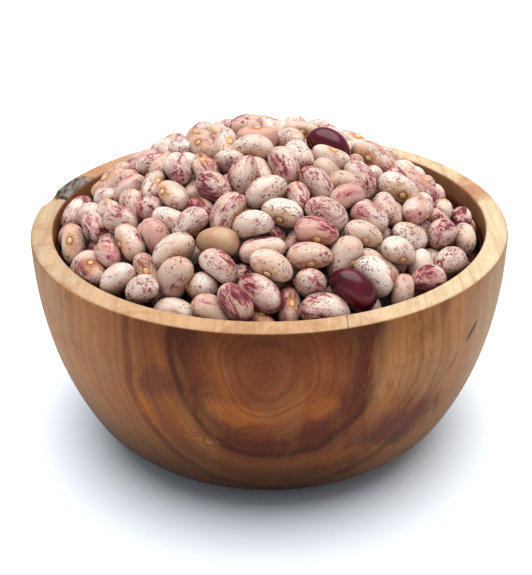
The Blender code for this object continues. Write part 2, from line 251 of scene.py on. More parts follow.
def hollow_profile(steps, clearance):
    """Points of the hollow from its middle up to its widest, each moved in by the clearance."""
    for step in range(1, steps + 1):
        turn = math.pi / 2 * step / steps
        z = FLOOR_THICKNESS + (WIDEST_HEIGHT - FLOOR_THICKNESS) * (1 - math.cos(turn))
        yield float(hollow_radius(z)) - clearance, z + clearance


def bowl_profile():
    """The section from the middle of the foot, out and up over the rim, and down the hollow."""
    points = [(0, 0), (FOOT_RADIUS / 2, 0), (FOOT_RADIUS, 0)]
    down = -math.pi / 2
    heel = arc(FOOT_RADIUS, HEEL_RADIUS, HEEL_RADIUS, down, down + HEEL_ANGLE, HEEL_STEPS)
    points += list(heel)[1:]
    heel_top = points[-1][1]
    rim_start = BOWL_HEIGHT - RIM_EDGE_OUT
    for step in range(1, WALL_STEPS + 1):
        z = heel_top + (rim_start - heel_top) * step / WALL_STEPS
        points.append((outer_radius(z), z))
    rim_out = outer_radius(rim_start) - RIM_EDGE_OUT
    points += list(arc(rim_out, rim_start, RIM_EDGE_OUT, 0, math.pi / 2, OUTER_EDGE_STEPS))[1:]
    rim_in = MOUTH_RADIUS + RIM_EDGE_IN
    for step in range(1, RIM_STEPS):
        points.append((rim_out + (rim_in - rim_out) * step / RIM_STEPS, BOWL_HEIGHT))
    inner_start = BOWL_HEIGHT - RIM_EDGE_IN
    points += list(arc(rim_in, inner_start, RIM_EDGE_IN, math.pi / 2, math.pi, INNER_EDGE_STEPS))
    points += reversed(list(hollow_profile(HOLLOW_STEPS, 0)))
    points.append((0, FLOOR_THICKNESS))
    return points


def turned(bm, profile, sides, shift=None):
    """Turns a section about +Z. The section starts and ends on the axis."""
    first = bm.verts.new((0, 0, profile[0][1]))
    last = bm.verts.new((0, 0, profile[-1][1]))
    rings = []
    for r, z in profile[1:-1]:
        ring = []
        for side in range(sides):
            azimuth = 2 * math.pi * side / sides
            radius, height = shift(r, z, azimuth) if shift else (r, z)
            place = (radius * math.cos(azimuth), radius * math.sin(azimuth), height)
            ring.append(bm.verts.new(place))
        rings.append(ring)
    for side in range(sides):
        after = (side + 1) % sides
        bm.faces.new((first, rings[0][after], rings[0][side]))
        for low, high in zip(rings, rings[1:]):
            bm.faces.new((low[side], low[after], high[after], high[side]))
        bm.faces.new((rings[-1][side], rings[-1][after], last))
    bmesh.ops.recalc_face_normals(bm, faces=bm.faces)


def chipped(r, z, azimuth):
    """Sinks the outer edge of the rim where the knot has lost a chip."""
    off = abs(math.remainder(azimuth - CHIP_AZIMUTH, 2 * math.pi)) / CHIP_HALF_WIDTH
    below = (BOWL_HEIGHT - z) / CHIP_REACH
    if off >= 1 or below >= 1 or r < (MOUTH_RADIUS + WIDEST_RADIUS) / 2:
        return r, z
    loss = CHIP_DEPTH * math.cos(off * math.pi / 2) * (1 - below)
    return r - loss, z - loss * (1 - below) / 3


def object_of(name, mesh, material):
    obj = bpy.data.objects.new(name, mesh)
    bpy.context.scene.collection.objects.link(obj)
    mesh.materials.append(material)
    mesh.shade_smooth()
    return obj


def mesh_of(name, bm):
    mesh = bpy.data.meshes.new(name)
    bm.to_mesh(mesh)
    bm.free()
    return mesh


# The heap, settled as in the CAD


def heap_top(x, y):
    """Height of the smooth dome through the tops of the beans."""
    reach = np.minimum(np.hypot(x - PEAK_RIGHT, y - PEAK_BACK) / MOUTH_RADIUS, 1)
    edge = EDGE_HEIGHT - EDGE_DIP * y / MOUTH_RADIUS
    return edge + (PEAK_HEIGHT - edge) * (1 - reach**DOME_POWER)


def heap_normal(x, y):
    step = 0.5 * MM
    slope_x = (heap_top(x + step, y) - heap_top(x - step, y)) / (2 * step)
    slope_y = (heap_top(x, y + step) - heap_top(x, y - step)) / (2 * step)
    normal = np.stack([-slope_x, -slope_y, np.ones_like(slope_x)], axis=-1)
    return normal / np.linalg.norm(normal, axis=-1, keepdims=True)


def bean_spheres():
    """Six spheres that stand for one bean while the heap settles, and their radii."""
    centres = []
    radii = []
    for end in (-1, 0, 1):
        x = end * (BEAN_LENGTH - END_SPHERE)
        y = -BEAN_BEND if end else BEAN_BEND / 3
        for side in (-SPHERE_PAIR, SPHERE_PAIR):
            centres.append((x, y + side, 0))
            radii.append(END_SPHERE if end else MIDDLE_SPHERE)
    centres = np.array(centres)
    return centres - centres.mean(axis=0), np.array(radii)


def turned_frames(turn, lift, roll, normal):
    """Axes of beans that lie on the dome: turned in plan, lifted at one end, rolled about their length."""
    along = np.stack([np.cos(turn), np.sin(turn), np.zeros_like(turn)], axis=-1)
    along -= normal * np.sum(along * normal, axis=-1, keepdims=True)
    along /= np.linalg.norm(along, axis=-1, keepdims=True)
    across = np.cross(normal, along)
    lifted = along * np.cos(lift)[:, None] + normal * np.sin(lift)[:, None]
    through = np.cross(lifted, across)
    rolled = across * np.cos(roll)[:, None] - through * np.sin(roll)[:, None]
    return np.stack([lifted, rolled, np.cross(lifted, rolled)], axis=-1)


def first_places(draw):
    """The placed beans behind where they are seen on the dome, the others scattered below it."""
    placed = np.array([row[:5] for row in PLACED], float)
    x, y = placed[:, 0] * MM, placed[:, 1] * MM
    turn, lift, roll = np.radians(placed[:, 2:]).T
    free = BEAN_COUNT - len(placed)
    azimuth = draw.uniform(0, 2 * math.pi, free)
    reach = (MOUTH_RADIUS - BEAN_WIDTH) * np.sqrt(draw.uniform(0, 1, free))
    x = np.concatenate([x, reach * np.cos(azimuth)])
    y = np.concatenate([y, reach * np.sin(azimuth)])
    facing = draw.uniform(-math.pi / 2, math.pi / 2, free)
    facing += math.pi * (draw.uniform(0, 1, free) > FACING_SHARE)
    turn = np.concatenate([turn, facing])
    lift = np.concatenate([lift, draw.normal(0, LIFT_SPREAD, free)])
    roll = np.concatenate([roll, draw.normal(ROLL_MIDDLE, ROLL_SPREAD, free)])
    size = 1 + SIZE_SPREAD * np.clip(draw.normal(0, 1, BEAN_COUNT), -2, 2)
    size[:2] = BIGGEST
    depth = draw.uniform(BEAN_THICKNESS, LAYERS_DEPTH - BEAN_THICKNESS / 2, BEAN_COUNT)
    placed_ones = np.arange(BEAN_COUNT) < len(placed)
    lying_depth = BEAN_THICKNESS + (BEAN_LENGTH - BEAN_THICKNESS) * np.abs(np.sin(lift))
    depth[placed_ones] = lying_depth[placed_ones] - PLACED_RISE
    normal = heap_normal(x, y)
    on_dome = np.stack([x, y, heap_top(x, y)], axis=-1)
    sight = np.array([0, math.cos(SIGHT_SLOPE), -math.sin(SIGHT_SLOPE)])
    behind = sight * (depth / np.maximum(-normal @ sight, GRAZING_LEAST))[:, None]
    centre = np.where(placed_ones[:, None], on_dome + behind, on_dome - normal * depth[:, None])
    return centre, turned_frames(turn, lift, roll, normal), size


def push_apart(place, radius, first, second):
    """Moves that part the spheres of neighbouring beans. A placed bean gives way less."""
    push = np.zeros_like(place)
    touches = np.zeros(place.shape[:2])
    between = place[first][:, :, None] - place[second][:, None]
    distance = np.linalg.norm(between, axis=-1)
    deep = radius[first][:, :, None] + radius[second][:, None] - distance
    pair, one, other = np.nonzero(deep > 0)
    weight = np.where(np.arange(len(place)) < len(PLACED), PLACED_WEIGHT, 1)
    gives = weight[second[pair]] / (weight[first[pair]] + weight[second[pair]])
    share = deep[pair, one, other] / np.maximum(distance[pair, one, other], 0.01 * MM)
    move = between[pair, one, other] * share[:, None]
    np.add.at(push, (first[pair], one), move * gives[:, None])
    np.add.at(push, (second[pair], other), move * (gives - 1)[:, None])
    np.add.at(touches, (first[pair], one), 1)
    np.add.at(touches, (second[pair], other), 1)
    return push / np.maximum(touches, 1)[..., None] ** TOUCH_POWER


def nearest_turn(matrices):
    """The pure rotation closest to each matrix."""
    left, _, right = np.linalg.svd(matrices)
    left[:, :, 2] *= np.sign(np.linalg.det(left @ right))[:, None]
    return left @ right


def keep_roll(frames, start):
    """Turns each bean about its length until its hilum faces as it first did."""
    along = frames[:, :, 0]
    across = start[:, :, 1]
    across = across - along * np.sum(across * along, axis=-1, keepdims=True)
    across /= np.linalg.norm(across, axis=-1, keepdims=True)
    return np.stack([along, across, np.cross(along, across)], axis=-1)


def settle(draw):
    """Beans sink together: they push apart, keep to the hollow and stay between core and dome."""
    centre, frames, size = first_places(draw)
    start = frames
    home = centre[: len(PLACED)].copy()
    spheres, radii = bean_spheres()
    radius = size[:, None] * radii[None, :]
    shape = size[:, None, None] * spheres[None]
    proud = draw.uniform(PROUD_LEAST, PROUD_MOST, len(centre))[:, None]
    proud[: len(home)] = PLACED_PROUD
    for sweep in range(SWEEPS):
        if sweep % LIST_SWEEPS == 0:
            away = np.linalg.norm(centre[:, None] - centre[None], axis=-1)
            first, second = np.nonzero(np.triu(away < NEAR_REACH, 1))
        calm = max(0, 1 - sweep / SINK_SWEEPS)
        centre = centre - SINK_STEP * calm * heap_normal(centre[:, 0], centre[:, 1])
        if sweep < HOME_SWEEPS:
            centre[: len(home)] += HOME_PULL * (home - centre[: len(home)])
        place = centre[:, None] + np.einsum("nij,nsj->nsi", frames, shape)
        push = push_apart(place, radius, first, second)

        reach = np.hypot(place[..., 0], place[..., 1])
        room = hollow_radius(np.minimum(place[..., 2], WIDEST_HEIGHT)) - radius - WALL_GAP
        out = np.maximum(reach - room, 0) / np.maximum(reach, MM)
        push[..., :2] -= out[..., None] * place[..., :2]

        up = heap_normal(place[..., 0], place[..., 1])
        above = (place[..., 2] - heap_top(place[..., 0], place[..., 1])) * up[..., 2]
        push -= LID_PUSH * up * np.maximum(above + radius - proud, 0)[..., None]
        push += up * np.maximum(radius - LAYERS_DEPTH - above, 0)[..., None]

        goal = place + push
        centre = goal.mean(axis=1)
        spread = np.einsum("nsi,sj->nij", goal - centre[:, None], spheres)
        frames = keep_roll(nearest_turn(spread), start)
        if sweep < HOME_SWEEPS:
            frames[: len(home)] = nearest_turn(frames[: len(home)] + TURN_PULL * start[: len(home)])
    return centre, frames, size


# Node trees


def is_socket(value):
    return isinstance(value, bpy.types.NodeSocket)


class Tree:
    """Short calls for one material's node tree. Lengths inside it are in mm."""

    def __init__(self, name, roughness, **settings):
        self.material = bpy.data.materials.new(name)
        self.material.use_nodes = True
        self.tree = self.material.node_tree
        self.shader = self.tree.nodes["Principled BSDF"]
        self.put(self.shader, {"Roughness": roughness, **settings})

    def put(self, node, inputs):
        for key, value in inputs.items():
            if is_socket(value):
                self.tree.links.new(value, node.inputs[key])
            else:
                node.inputs[key].default_value = value

    def node(self, kind, inputs=None, **settings):
        made = self.tree.nodes.new(kind)
        for key, value in settings.items():
            setattr(made, key, value)
        self.put(made, inputs or {})
        return made

    def math(self, operation, one, other=0.0, third=0.0):
        inputs = {0: one, 1: other, 2: third}
        return self.node("ShaderNodeMath", inputs, operation=operation).outputs[0]

    def times(self, one, other):
        return self.math("MULTIPLY", one, other)

    def length(self, one, other):
        """Length of the line across a right angle with these two legs."""
        squares = [self.math("POWER", leg, 2.0) for leg in (one, other)]
        return self.math("SQRT", self.math("ADD", *squares))

    def vector(self, operation, one, other):
        inputs = {0: one, 1: other}
        return self.node("ShaderNodeVectorMath", inputs, operation=operation).outputs[0]

    def scaled(self, vector, amount):
        inputs = {0: vector, "Scale": amount}
        return self.node("ShaderNodeVectorMath", inputs, operation="SCALE").outputs[0]

    def noise(self, place, scale, detail=2.0, roughness=0.5, distortion=0.0, colour=False):
        inputs = {
            "Vector": place,
            "Scale": scale,
            "Detail": detail,
            "Roughness": roughness,
            "Distortion": distortion,
        }
        made = self.node("ShaderNodeTexNoise", inputs)
        return made.outputs["Color" if colour else "Fac"]

    def span(self, value, low, high, to_low=0.0, to_high=1.0, smooth=True):
        inputs = {0: value, 1: low, 2: high, 3: to_low, 4: to_high}
        kind = "SMOOTHSTEP" if smooth else "LINEAR"
        return self.node("ShaderNodeMapRange", inputs, interpolation_type=kind).outputs[0]

    def mix(self, amount, one, other):
        made = self.node("ShaderNodeMix", data_type="RGBA")
        self.put(made, {0: amount, 6: one, 7: other})
        return made.outputs[2]

    def ramp(self, value, stops):
        made = self.node("ShaderNodeValToRGB", {0: value})
        elements = made.color_ramp.elements
        while len(elements) < len(stops):
            elements.new(0.5)
        for element, (position, colour) in zip(elements, stops):
            element.position = position
            element.color = colour
        return made.outputs[0]

    def bump(self, height, distance, strength):
        inputs = {"Height": height, "Distance": distance, "Strength": strength}
        normal = self.node("ShaderNodeBump", inputs).outputs[0]
        self.put(self.shader, {"Normal": normal})

    def colour(self, value):
        self.put(self.shader, {"Base Color": value})
        return self.material


# Bean skins

CREAM = linear(221, 208, 198)
BEIGE = linear(202, 177, 161)
PINKISH = linear(198, 160, 150)
ROSE = linear(176, 104, 108)
PURPLE = linear(132, 46, 64)
DARK_PURPLE = linear(84, 24, 40)
MAUVE = linear(176, 134, 138)
TAN = linear(196, 152, 114)
GOLDEN = linear(184, 126, 64)
BROWN = linear(120, 68, 42)

TAN_BEAN = linear(184, 154, 128)
TAN_SHADE = linear(166, 130, 104)
MAROON_BEAN = linear(100, 16, 40)
MAROON_SHADE = linear(66, 8, 22)
HALO_TAN = linear(186, 132, 82)
HALO_BROWN = linear(140, 84, 56)
HILUM_PALE = linear(222, 200, 160)
HILUM_TAN = linear(200, 162, 112)

# The hilum's oval pad in mm: its half sizes, then each ring's share of them and its rise
HILUM_HALF = (1.35, 0.95)
HILUM_RINGS = ((1.0, -0.3), (0.92, 0.16), (0.62, 0.24), (0.25, 0.2))
HILUM_SIDES = 12
HILUM_CURVE = 0.03

# How far apart two beans lie in the noise, at most, so that no two look alike
NOISE_APART = 371.0

# Fine dots: scale, how much rarer they are, and strength
DOTS = ((1.0, 0.02, 0.65), (1.7, 0.01, 0.7), (3.0, 0.0, 0.5))

# The four speckled kinds: ground, shares of blush, haze, streaks and dots, and stretch of the streaks
PATTERNS = {
    "speckled": (BEIGE, 0.15, 0.5, 0.46, 0.9, 0.3),
    "streaked": (BEIGE, 0.35, 0.6, 0.74, 0.65, 0.16),
    "pale": (BEIGE, 0.1, 0.35, 0.24, 0.66, 0.3),
    "blushed": (PINKISH, 0.7, 0.6, 0.52, 0.55, 0.25),
}


def skin_place(tree):
    """Place within the bean in mm, and the bean's own random numbers, 0 to 1."""
    place = tree.node("ShaderNodeAttribute", attribute_name="place").outputs["Vector"]
    own = tree.node("ShaderNodeAttribute", attribute_name="own").outputs["Vector"]
    parts = tree.node("ShaderNodeSeparateXYZ", {0: own}).outputs
    return place, own, parts


def stretched(tree, place, own, stretch):
    """Coordinates for noise that runs along the bean, and differs from bean to bean."""
    return tree.vector("ADD", tree.vector("MULTIPLY", place, stretch), tree.scaled(own, NOISE_APART))


def hilum_side(tree, place, own, parts, skin):
    """The side of the hilum: tan skin, and round the hilum a golden or brown ring."""
    ragged = tree.noise(stretched(tree, place, own, (1, 1, 1)), 0.8, 2)
    x, y, z = tree.node("ShaderNodeSeparateXYZ", {0: place}).outputs
    wavy_y = tree.math("ADD", y, tree.span(ragged, 0.3, 0.7, -1.2, 1.2, smooth=False))
    tan = tree.times(tree.span(wavy_y, -1.8, -5.2), tree.span(parts[2], 0.0, 1.0, 0.15, 0.7))
    skin = tree.mix(tan, skin, TAN)
    far = tree.length(tree.math("DIVIDE", x, HILUM_HALF[0]), tree.math("DIVIDE", z, HILUM_HALF[1]))
    far = tree.math("ADD", far, tree.span(ragged, 0.3, 0.7, -0.25, 0.25, smooth=False))
    inner_side = tree.span(y, -2.0, -3.4)
    halo = tree.times(tree.span(far, 2.8, 1.2), tree.times(inner_side, 0.5))
    skin = tree.mix(halo, skin, tree.mix(parts[2], HALO_TAN, HALO_BROWN))
    ring = tree.times(tree.span(far, 1.5, 1.2), tree.times(inner_side, 0.7))
    return tree.mix(ring, skin, tree.mix(tree.span(parts[2], 0.3, 0.8), GOLDEN, BROWN))


def patterned_skin(name, ground, blush, haze_share, streak_share, dot_share, stretch):
    """Pale ground with a soft blush and haze, streaks along the bean and fine maroon specks."""
    tree = Tree(name, 0.4, **{"Specular IOR Level": 0.35})
    place, own, parts = skin_place(tree)
    less = tree.math("SUBTRACT", parts[0], 0.5)
    broad = tree.noise(stretched(tree, place, own, (0.6, 1, 1)), 0.13, 2)
    warm = tree.span(tree.math("ADD", broad, tree.times(parts[1], 0.5)), 0.5, 1.0)
    skin = tree.mix(warm, CREAM, ground)

    patch = tree.noise(stretched(tree, place, own, (0.5, 1, 1)), 0.12, 2, 0.5, 0.6)
    edge = tree.noise(stretched(tree, place, own, (0.3, 1, 1)), 0.6, 4, 0.6)
    edge = tree.math("ADD", patch, tree.span(edge, 0.25, 0.75, -0.1, 0.1, smooth=False))
    flush = tree.span(edge, 0.66 - 0.22 * blush, 0.74 - 0.16 * blush)
    skin = tree.mix(tree.times(flush, 0.3 + 0.45 * blush), skin, ROSE)

    haze = tree.noise(stretched(tree, place, own, (0.5, 1, 1)), 0.5, 5, 0.7, 0.3)
    level = tree.math("MULTIPLY_ADD", less, 0.12, 0.6 - 0.3 * haze_share)
    level = tree.math("SUBTRACT", level, tree.span(patch, 0.3, 0.7, -0.08, 0.08))
    haze = tree.span(tree.math("SUBTRACT", haze, level), 0.0, 0.2)
    skin = tree.mix(tree.times(haze, 0.55), skin, tree.mix(broad, PINKISH, MAUVE))

    veins = tree.noise(stretched(tree, place, own, (0.3, 1, 1)), 1.5, 4, 0.7, 0.8)
    veins = tree.span(tree.math("ABSOLUTE", tree.math("SUBTRACT", veins, 0.5)), 0.045, 0.01)
    veins = tree.times(veins, tree.span(patch, 0.42, 0.66, 0.04, 0.4))
    skin = tree.mix(veins, skin, PURPLE)

    lines = tree.noise(stretched(tree, place, own, (stretch, 1, 1)), 0.72, 5, 0.62, 0.5)
    level = tree.math("MULTIPLY_ADD", less, 0.12, 0.72 - 0.22 * streak_share)
    level = tree.math("SUBTRACT", level, tree.span(patch, 0.3, 0.7, -0.12, 0.12))
    lines = tree.math("SUBTRACT", lines, level)
    skin = tree.mix(tree.times(tree.span(lines, -0.08, 0.03), 0.45), skin, ROSE)
    skin = tree.mix(tree.times(tree.span(lines, 0.0, 0.06), 0.7), skin, PURPLE)
    skin = tree.mix(tree.times(tree.span(lines, 0.06, 0.12), 0.7), skin, DARK_PURPLE)

    crowd = tree.noise(stretched(tree, place, own, (0.7, 1, 1)), 0.22, 2)
    for scale, fewer, strength in DOTS:
        dots = tree.noise(stretched(tree, place, own, (0.7, 1, 1)), scale, 1, 0.35)
        level = 0.76 - 0.14 * dot_share + fewer
        level = tree.math("SUBTRACT", level, tree.span(crowd, 0.3, 0.7, -0.09, 0.09))
        dots = tree.span(tree.math("SUBTRACT", dots, level), -0.01, 0.06)
        skin = tree.mix(tree.times(dots, strength), skin, tree.mix(crowd, PURPLE, DARK_PURPLE))

    tree.bump(tree.noise(stretched(tree, place, own, (0.7, 1, 1)), 0.7, 3), 0.1 * MM, 0.4)
    return tree.colour(hilum_side(tree, place, own, parts, skin))


def plain_skin(name, ground, shade, spot, roughness):
    """A nearly plain skin that darkens in broad patches, with a few fine specks."""
    tree = Tree(name, roughness, **{"Specular IOR Level": 0.5})
    place, own, parts = skin_place(tree)
    broad = tree.noise(stretched(tree, place, own, (0.6, 1, 1)), 0.2, 3)
    colour = tree.mix(tree.span(broad, 0.35, 0.7), ground, shade)
    specks = tree.noise(stretched(tree, place, own, (0.7, 1, 1)), 1.9, 2, 0.5)
    colour = tree.mix(tree.times(tree.span(specks, 0.68, 0.78), 0.5), colour, spot)
    tree.bump(tree.noise(stretched(tree, place, own, (0.7, 1, 1)), 0.8, 3), 0.06 * MM, 0.4)
    return tree.colour(hilum_side(tree, place, own, parts, colour))


def hilum_skin():
    tree = Tree("hilum", 0.5)
    place, own, parts = skin_place(tree)
    grain = tree.noise(stretched(tree, place, own, (1, 1, 1)), 1.3, 2)
    colour = tree.mix(tree.span(grain, 0.3, 0.7), HILUM_PALE, HILUM_TAN)
    tree.bump(grain, 0.05 * MM, 0.5)
    return tree.colour(colour)


def bean_skins():
    skins = {kind: patterned_skin(kind + " bean", *pattern) for kind, pattern in PATTERNS.items()}
    skins["tan"] = plain_skin("tan bean", TAN_BEAN, TAN_SHADE, BROWN, 0.4)
    skins["maroon"] = plain_skin("maroon bean", MAROON_BEAN, MAROON_SHADE, PINKISH, 0.25)
    return skins


# Bean meshes


def bean_surface(t, phi, traits):
    """Places on beans in mm: t runs from end to end, and phi goes round from opposite the hilum."""
    blunt, bend, dent, lean, plump, slim = (traits[:, k, None, None] for k in range(6))
    girth = (1 - np.abs(t) ** blunt) ** (1 / blunt) * (1 + lean * t)
    side = np.cos(phi)
    hollow = 1 - dent * np.exp(-((t / 0.42) ** 2)) * np.clip(-side, 0, 1) ** 2
    x = BEAN_LENGTH * t
    y = BEAN_WIDTH * slim * girth * side * hollow + BEAN_BEND * bend * (0.4 - 1.6 * t * t)
    z = BEAN_THICKNESS * plump * girth * np.sin(phi)
    return np.stack(np.broadcast_arrays(x, y, z), axis=-1) / MM


def bean_traits(draw, count):
    """Bluntness, bend, dent at the hilum, lean to one end, plumpness and width of each bean."""
    return np.stack(
        [
            draw.uniform(2.05, 2.5, count),
            draw.uniform(0.4, 1.3, count),
            draw.uniform(0.02, 0.14, count),
            draw.normal(0, 0.06, count),
            draw.uniform(0.94, 1.08, count),
            draw.uniform(0.95, 1.05, count),
        ],
        axis=-1,
    )


def grid_faces(rings, sides):
    """Faces of one closed bean: a fan at each end and quads between. The ends are points 0 and 1."""
    quads = []
    for ring in range(rings - 1):
        for side in range(sides):
            after = (side + 1) % sides
            low = 2 + ring * sides
            high = low + sides
            quads.append((low + side, low + after, high + after, high + side))
    fans = []
    last = 2 + (rings - 1) * sides
    for side in range(sides):
        after = (side + 1) % sides
        fans.append((0, 2 + after, 2 + side))
        fans.append((1, last + side, last + after))
    return quads, fans


def joined_mesh(name, points, faces, local, own):
    """One mesh of many like pieces. points and local are (pieces, points, 3), own is (pieces, 3)."""
    pieces, per_piece = points.shape[:2]
    every = []
    for piece in range(pieces):
        start = piece * per_piece
        every.extend(tuple(start + corner for corner in face) for face in faces)
    mesh = bpy.data.meshes.new(name)
    mesh.from_pydata(points.reshape(-1, 3).tolist(), [], every)
    for title, values in (("place", local), ("own", np.repeat(own[:, None], per_piece, axis=1))):
        attribute = mesh.attributes.new(title, "FLOAT_VECTOR", "POINT")
        attribute.data.foreach_set("vector", np.ascontiguousarray(values, np.float32).ravel())
    return mesh


def bean_points(traits):
    t = -np.cos(math.pi * np.arange(1, BEAN_RINGS + 1) / (BEAN_RINGS + 1))
    phi = 2 * math.pi * np.arange(BEAN_SIDES) / BEAN_SIDES
    body = bean_surface(t[None, :, None], phi[None, None, :], traits)
    ends = bean_surface(np.array([-1.0, 1.0])[None, :, None], np.zeros((1, 1, 1)), traits)
    body = body.reshape(len(traits), -1, 3)
    return np.concatenate([ends.reshape(len(traits), 2, 3), body], axis=1)


def put_in_heap(local, centre, frames, size):
    scaled = local * MM * size[:, None, None]
    return centre[:, None] + np.einsum("nij,npj->npi", frames, scaled)


def hilum_points(traits):
    """A low oval pad with a dimple in its middle, on the dented side of each bean."""
    seat = bean_surface(np.zeros((1, 1, 1)), np.full((1, 1, 1), math.pi), traits).reshape(-1, 3)
    angle = 2 * math.pi * np.arange(HILUM_SIDES) / HILUM_SIDES
    points = []
    for share, rise in HILUM_RINGS:
        x = HILUM_HALF[0] * share * np.cos(angle)
        z = HILUM_HALF[1] * share * np.sin(angle)
        y = np.full_like(angle, -rise) + HILUM_CURVE * x**2
        points.append(np.stack([x, y, z], axis=-1))
    pad = np.concatenate(points)
    return seat[:, None] + pad[None]


def hilum_faces():
    faces = []
    last = len(HILUM_RINGS) - 1
    for ring in range(last):
        for side in range(HILUM_SIDES):
            after = (side + 1) % HILUM_SIDES
            low = ring * HILUM_SIDES
            high = low + HILUM_SIDES
            faces.append((low + side, high + side, high + after, low + after))
    faces.append(tuple(last * HILUM_SIDES + side for side in reversed(range(HILUM_SIDES))))
    return faces


def build_heap():
    centre, frames, size = settle(np.random.default_rng(SEED))
    draw = np.random.default_rng(LOOK_SEED)
    traits = bean_traits(draw, BEAN_COUNT)
    own = draw.uniform(0, 1, (BEAN_COUNT, 3))
    kinds = draw.choice(len(KINDS), BEAN_COUNT, p=KIND_SHARES)
    for bean, row in enumerate(PLACED):
        kinds[bean] = KINDS.index(row[5])
    local = bean_points(traits)
    world = put_in_heap(local, centre, frames, size)
    too_high = np.maximum(world[..., 2].max(axis=1) - cad_box[1][2] + GAP / 2, 0)
    centre[:, 2] -= too_high
    world[..., 2] -= too_high[:, None]
    quads, fans = grid_faces(BEAN_RINGS, BEAN_SIDES)
    skins = bean_skins()
    for index, kind in enumerate(KINDS):
        own_kind = np.nonzero(kinds == index)[0]
        mesh = joined_mesh(kind, world[own_kind], quads + fans, local[own_kind], own[own_kind])
        obj = object_of("beans_" + kind, mesh, skins[kind])
        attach(obj, "root")
        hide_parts("beans")
    pads = hilum_points(traits)
    mesh = joined_mesh("hilums", put_in_heap(pads, centre, frames, size), hilum_faces(), pads, own)
    obj = object_of("bean_hilums", mesh, hilum_skin())
    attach(obj, "root")
    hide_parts("beans")


# Core of the heap: its depth below the dome, the swellings that stand for deeper beans, and its dark
# painted shade
CORE_DEPTH = 13 * MM
CORE_RINGS = 40
CORE_SIDES = 120
CORE_SWELL = 1.2 * MM
CORE_WAVE_ACROSS = 2.3 * MM
CORE_WAVE_BACK = 2.1 * MM
CORE_SHADE_BROWN = linear(92, 46, 34)
CORE_SHADE_DARK = linear(34, 10, 8)


def core_shade_material():
    tree = Tree("painted shade of beans deep in the heap", 0.6)
    place = tree.scaled(tree.node("ShaderNodeTexCoord").outputs["Object"], 1 / MM)
    cells = tree.node("ShaderNodeTexVoronoi", {"Vector": place, "Scale": 0.09}).outputs["Distance"]
    # painted shade: dark brown all over, darkest in the creases between the swellings
    shade = tree.mix(tree.span(cells, 0.2, 0.7), CORE_SHADE_BROWN, CORE_SHADE_DARK)
    tree.bump(cells, -4 * MM, 1.0)
    return tree.colour(shade)


def build_core():
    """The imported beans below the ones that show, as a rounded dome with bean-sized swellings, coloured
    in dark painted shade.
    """
    wall = list(hollow_profile(HOLLOW_STEPS, 2 * GAP))
    level = wall[-1][1]
    edge = MOUTH_RADIUS - 2 * GAP
    wall[-1] = (edge, level)
    cover = [(edge * ring / CORE_RINGS, level) for ring in range(CORE_RINGS - 1, -1, -1)]
    bm = bmesh.new()
    turned(bm, [(0, FLOOR_THICKNESS + 2 * GAP)] + wall + cover, CORE_SIDES)
    for vert in bm.verts:
        if vert.co.z > level - GAP:
            x, y = vert.co.x, vert.co.y
            swell = CORE_SWELL * math.sin(x / CORE_WAVE_ACROSS) * math.cos(y / CORE_WAVE_BACK)
            vert.co.z = float(heap_top(np.array(x), np.array(y))) - CORE_DEPTH + swell
    obj = object_of("heap_core", mesh_of("heap_core", bm), core_shade_material())
    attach(obj, "root")
    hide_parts("beans")


# Bowl

# Middle of the growth rings, on the front, and how much closer they lie on its left
RING_X = -3
RING_Z = 76
LEFT_SQUEEZE = 1.35

# Broad bands of the wood by their distance from that middle, in mm
BANDS = (
    (0, (141, 86, 56)),
    (9, (139, 84, 54)),
    (15, (144, 87, 55)),
    (21, (150, 90, 52)),
    (26, (134, 78, 48)),
    (31, (112, 64, 46)),
    (38, (110, 62, 44)),
    (40, (97, 55, 43)),
    (42, (138, 84, 52)),
    (47, (152, 98, 58)),
    (54, (146, 94, 60)),
    (61, (152, 102, 66)),
    (63, (128, 82, 54)),
    (65, (156, 106, 70)),
    (92, (170, 124, 86)),
)
BAND_REACH = 110
FINE_LINE = linear(64, 28, 14)
FLAME = linear(178, 130, 84)
GREYISH = linear(112, 68, 58)
WARM_GOLD = linear(176, 112, 58)
FOOT_WOOD_AND_PAINTED_SHADE = linear(34, 12, 6)
KNOT = linear(48, 24, 16)
RIM_LEFT = linear(183, 164, 141)
RIM_FRONT = linear(187, 157, 128)
RIM_RIGHT = linear(203, 187, 161)
RIM_SHADE = linear(156, 118, 84)
BARK = linear(136, 130, 126)
BARK_DARK = linear(76, 66, 60)
SAPWOOD = linear(172, 138, 106)
RIM_GOLDEN = linear(202, 168, 120)
RIM_RED = linear(158, 96, 66)
RIM_PINK = linear(172, 126, 98)
HOLLOW_DARK = linear(120, 66, 40)
HOLLOW_PALE = linear(158, 100, 62)

# Lines along the rings: scale, where they start and are full, and strength
RING_LINES = ((0.12, 0.35, 0.7, 0.24), (0.4, 0.4, 0.75, 0.26), (1.3, 0.4, 0.75, 0.16))
# Where the wall shows its long grain, gets painted shade under the rim, gets darker wood and painted shade
# at the foot, and counts as the front:
# the place where each starts and where it is full, in mm
LONG_GRAIN = (52, 92)
UNDER_RIM_SHADE_SPAN = (72, 89)
FOOT_WOOD_AND_SHADE_SPAN = (58, 2)
FRONT_SIDE = (0, -30)

